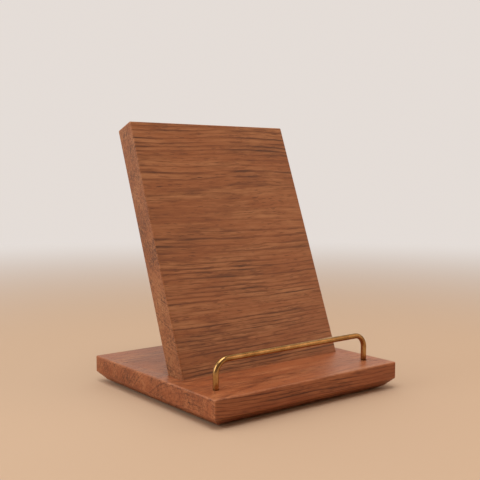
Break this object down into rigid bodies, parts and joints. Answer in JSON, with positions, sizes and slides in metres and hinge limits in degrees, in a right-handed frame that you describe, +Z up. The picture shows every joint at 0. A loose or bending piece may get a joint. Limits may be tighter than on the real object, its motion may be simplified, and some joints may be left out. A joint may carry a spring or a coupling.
{
  "type": "book display stand",
  "caption": "Wooden display stand for a small book: chamfered base, leaning back board, and a low bent brass bar that stops the book sliding off.",
  "frame": {"origin": "centre of the base's outline, on the surface that the stand rests on", "axes": "+X across the stand to the viewer's right, +Y from the front edge to the back, +Z up"},
  "size_m": [0.16, 0.15, 0.1896],
  "materials": {
    "base_wood": "brown open-grained hardwood, rubbed with oil",
    "board_wood": "brown open-grained hardwood, rubbed with oil",
    "brass_rod": "drawn along its length, dulled to a brown gold",
    "screw_steel": "zinc plated, satin",
    "pad_rubber": "matt black, fine grain"
  },
  "bodies": {
    "root": {"base_board": "base_wood", "back_board": "board_wood", "holder_bar": "brass_rod", "back_board_screws": "screw_steel", "front_left_pad": "pad_rubber", "front_right_pad": "pad_rubber", "rear_left_pad": "pad_rubber", "rear_right_pad": "pad_rubber"}
  },
  "joints": []
}
